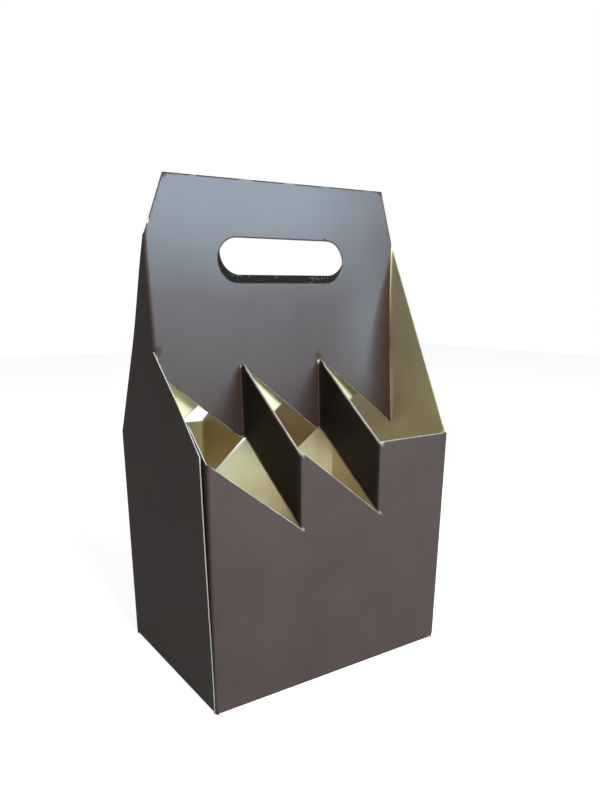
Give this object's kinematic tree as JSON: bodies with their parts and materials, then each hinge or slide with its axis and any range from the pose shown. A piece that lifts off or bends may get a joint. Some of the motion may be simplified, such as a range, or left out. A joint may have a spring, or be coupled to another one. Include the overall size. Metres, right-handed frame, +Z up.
{
  "type": "bottle carrier",
  "caption": "Folded paperboard bottle carrier with open cells, slanted dividers cut from its walls, and a tall double handle sheet with an obround hand hole.",
  "frame": {"origin": "middle of the footprint, on the surface it stands on", "axes": "+X along the long front wall, towards the right end; -Y towards the front wall; +Z up towards the handle"},
  "size_m": [0.189, 0.134, 0.32],
  "materials": {
    "board": "satin dark brown print outside, pale gold print inside, cream cut edges"
  },
  "bodies": {
    "root": {"carrier": "board"}
  },
  "joints": []
}
